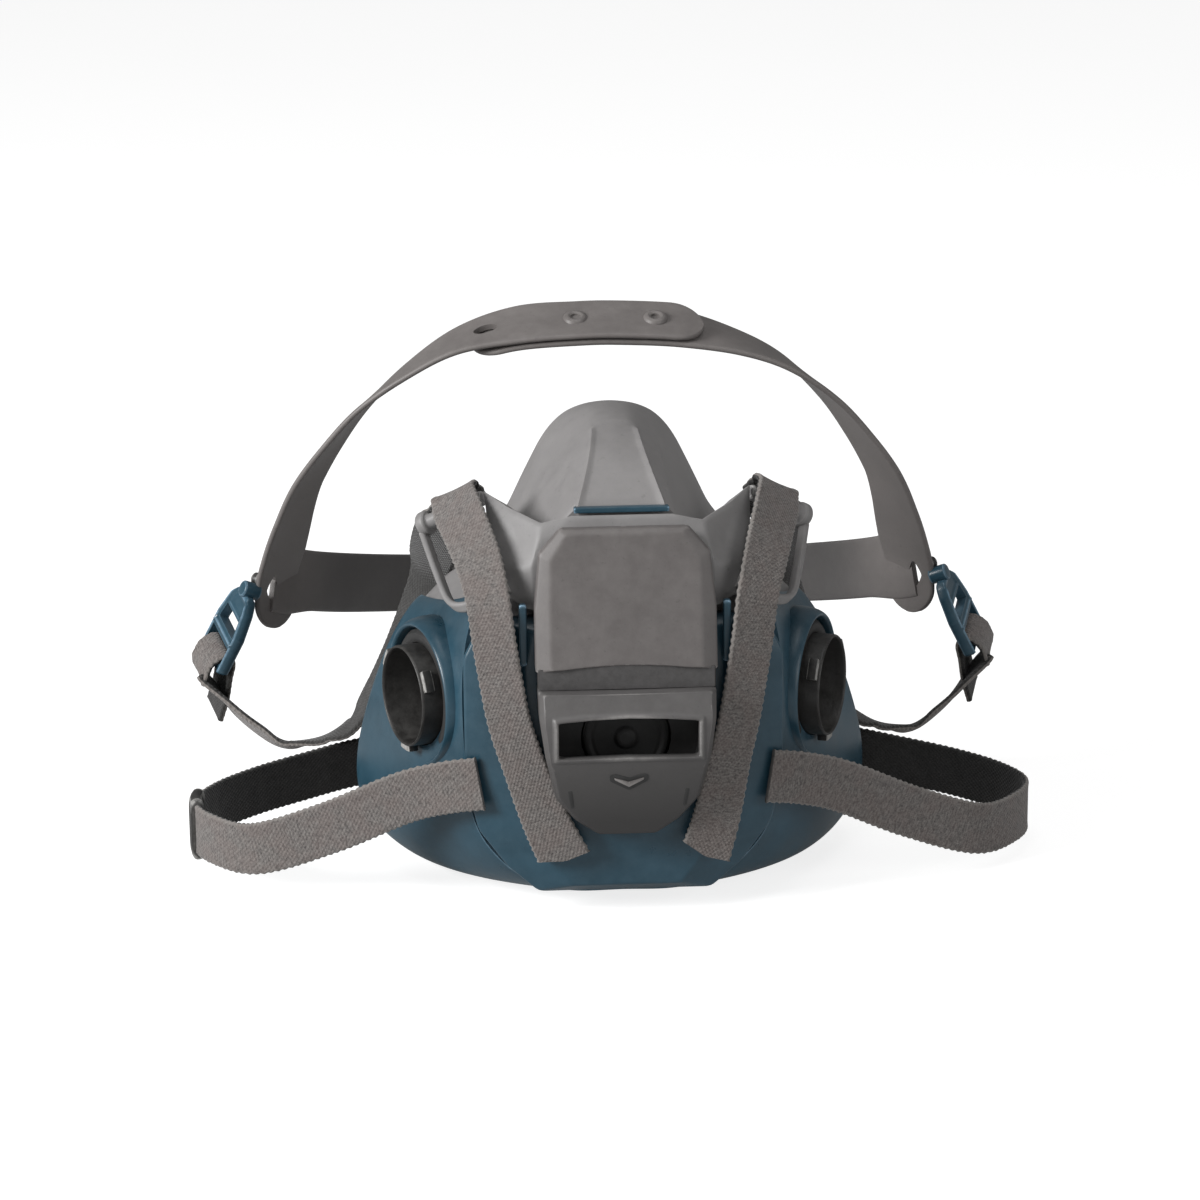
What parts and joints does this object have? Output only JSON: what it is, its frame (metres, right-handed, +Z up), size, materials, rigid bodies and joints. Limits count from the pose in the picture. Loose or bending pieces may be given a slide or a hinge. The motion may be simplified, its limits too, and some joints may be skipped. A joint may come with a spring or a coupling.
{
  "type": "half-mask respirator",
  "caption": "Reusable half-mask respirator with twist-lock inlets, hinged front cover, exhaust slot, woven straps and a moulded head cradle.",
  "frame": {"origin": "centre of the face opening, where the wearer's face sits", "axes": "+Z up towards the nose bridge, +Y back towards the wearer, -Y is the mask's front, +X the mask's left as worn (right in a front view)"},
  "size_m": [0.2482, 0.2409, 0.153],
  "materials": {
    "silicone_grey": "matte silicone",
    "shell_blue": "satin moulded",
    "cover_grey": "satin moulded",
    "black_plastic": "satin moulded",
    "cradle_grey": "soft matte",
    "webbing_grey": "woven elastic",
    "valve_rubber": "matte",
    "pin_steel": "brushed"
  },
  "bodies": {
    "mask": {"face_seal": "silicone_grey", "seal_cup": "silicone_grey", "facepiece_shell": "shell_blue", "front_plate": "shell_blue", "strap_yoke": "cover_grey", "latch_pin": "pin_steel", "exhaust_cover": "cover_grey", "exhalation_valve_seat": "black_plastic", "inlet_port_left": "black_plastic", "inlet_port_right": "black_plastic", "inlet_gasket_left": "valve_rubber", "inlet_gasket_right": "valve_rubber", "guide_bar_left": "cover_grey", "guide_bar_right": "cover_grey", "strap_anchor_left": "black_plastic", "strap_anchor_right": "black_plastic", "neck_anchor_left": "black_plastic", "neck_anchor_right": "black_plastic", "head_cradle": "cradle_grey", "crown_stud_front": "cradle_grey", "crown_stud_rear": "cradle_grey", "head_strap_left": "webbing_grey", "head_strap_right": "webbing_grey", "neck_strap_left": "webbing_grey", "neck_strap_right": "webbing_grey", "neck_slide": "black_plastic", "neck_clasp_loop": "black_plastic"},
    "latch_cover": {"latch_cover": "cover_grey"},
    "exhalation_disc": {"exhalation_valve": "valve_rubber"},
    "inhalation_disc_left": {"inhalation_valve_left": "valve_rubber"},
    "inhalation_disc_right": {"inhalation_valve_right": "valve_rubber"},
    "buckle_left": {"buckle_left": "shell_blue"},
    "buckle_right": {"buckle_right": "shell_blue"},
    "clasp_hook": {"neck_clasp_hook": "black_plastic"}
  },
  "joints": [
    {"name": "latch_lift", "type": "hinge", "parent": "mask", "child": "latch_cover", "pos_m": [0, -0.06, 0.0435], "axis": [-1, 0, 0], "range_deg": [0, 50]},
    {"name": "exhalation_valve_lift", "type": "slide", "parent": "mask", "child": "exhalation_disc", "axis": [0, -1, 0], "range_m": [0, 0.0015], "stiffness_N_per_m": 20, "springref_m": -0.0005},
    {"name": "inhalation_valve_left_lift", "type": "slide", "parent": "mask", "child": "inhalation_disc_left", "axis": [0.9206, 0.3905, 0], "range_m": [0, 0.0015], "stiffness_N_per_m": 20, "springref_m": -0.0005},
    {"name": "inhalation_valve_right_lift", "type": "slide", "parent": "mask", "child": "inhalation_disc_right", "axis": [-0.9206, 0.3905, 0], "range_m": [0, 0.0015], "stiffness_N_per_m": 20, "springref_m": -0.0005},
    {"name": "buckle_left_swivel", "type": "hinge", "parent": "mask", "child": "buckle_left", "pos_m": [-0.1073, 0.0642, -0.004], "axis": [-0.8503, -0.3681, 0.3762], "range_deg": [-15, 15], "stiffness_Nm_per_rad": 0.02, "deforming": ["head_strap_left"]},
    {"name": "buckle_right_swivel", "type": "hinge", "parent": "mask", "child": "buckle_right", "pos_m": [0.1073, 0.0642, -0.004], "axis": [-0.8503, 0.3681, -0.3762], "range_deg": [-15, 15], "stiffness_Nm_per_rad": 0.02, "deforming": ["head_strap_right"]},
    {"name": "neck_clasp_release", "type": "slide", "parent": "mask", "child": "clasp_hook", "axis": [0, 1, 0], "range_m": [0, 0.012], "deforming": ["neck_strap_left"]}
  ]
}
